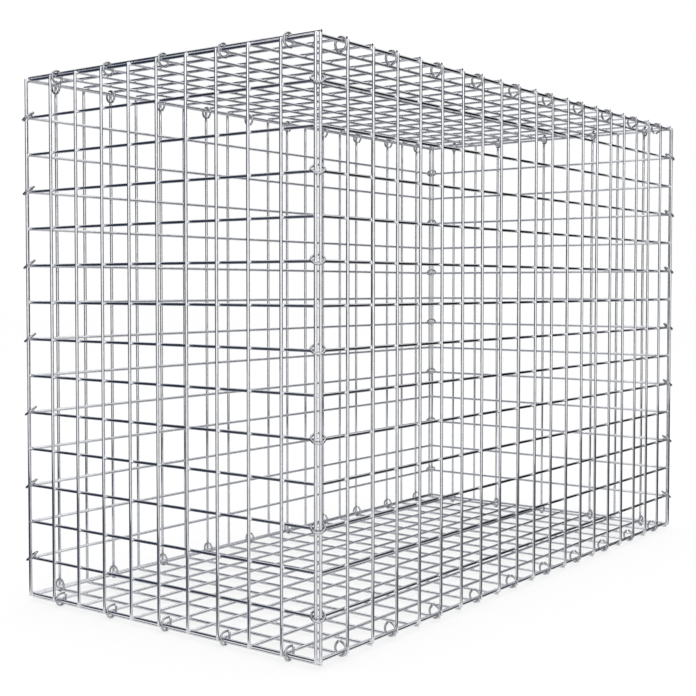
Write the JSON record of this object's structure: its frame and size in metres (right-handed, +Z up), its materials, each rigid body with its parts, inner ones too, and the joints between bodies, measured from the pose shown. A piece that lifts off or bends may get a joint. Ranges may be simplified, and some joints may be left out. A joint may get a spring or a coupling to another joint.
{
  "type": "gabion basket",
  "caption": "Empty box of welded steel-wire mesh with its lid on, closed along every edge with C-rings, to be filled with stone as one bay of a wall.",
  "frame": {"origin": "centre of the footprint, on the ground under the lowest rings", "axes": "+X along the basket's length, +Y from the front panel to the back panel, +Z up"},
  "size_m": [1.019, 0.519, 0.719],
  "materials": {
    "mesh_wire": "zinc-coated welded wire",
    "ring_wire": "zinc-coated ring wire"
  },
  "bodies": {
    "root": {"front_uprights": "mesh_wire", "front_level_wires": "mesh_wire", "back_uprights": "mesh_wire", "back_level_wires": "mesh_wire", "left_end_uprights": "mesh_wire", "left_end_level_wires": "mesh_wire", "right_end_uprights": "mesh_wire", "right_end_level_wires": "mesh_wire", "base_cross_wires": "mesh_wire", "base_long_wires": "mesh_wire", "lid_cross_wires": "mesh_wire", "lid_long_wires": "mesh_wire", "front_left_corner_rings": "ring_wire", "front_right_corner_rings": "ring_wire", "back_left_corner_rings": "ring_wire", "back_right_corner_rings": "ring_wire", "front_top_rings": "ring_wire", "back_top_rings": "ring_wire", "front_bottom_rings": "ring_wire", "back_bottom_rings": "ring_wire", "left_top_rings": "ring_wire", "right_top_rings": "ring_wire", "left_bottom_rings": "ring_wire", "right_bottom_rings": "ring_wire"}
  },
  "joints": []
}
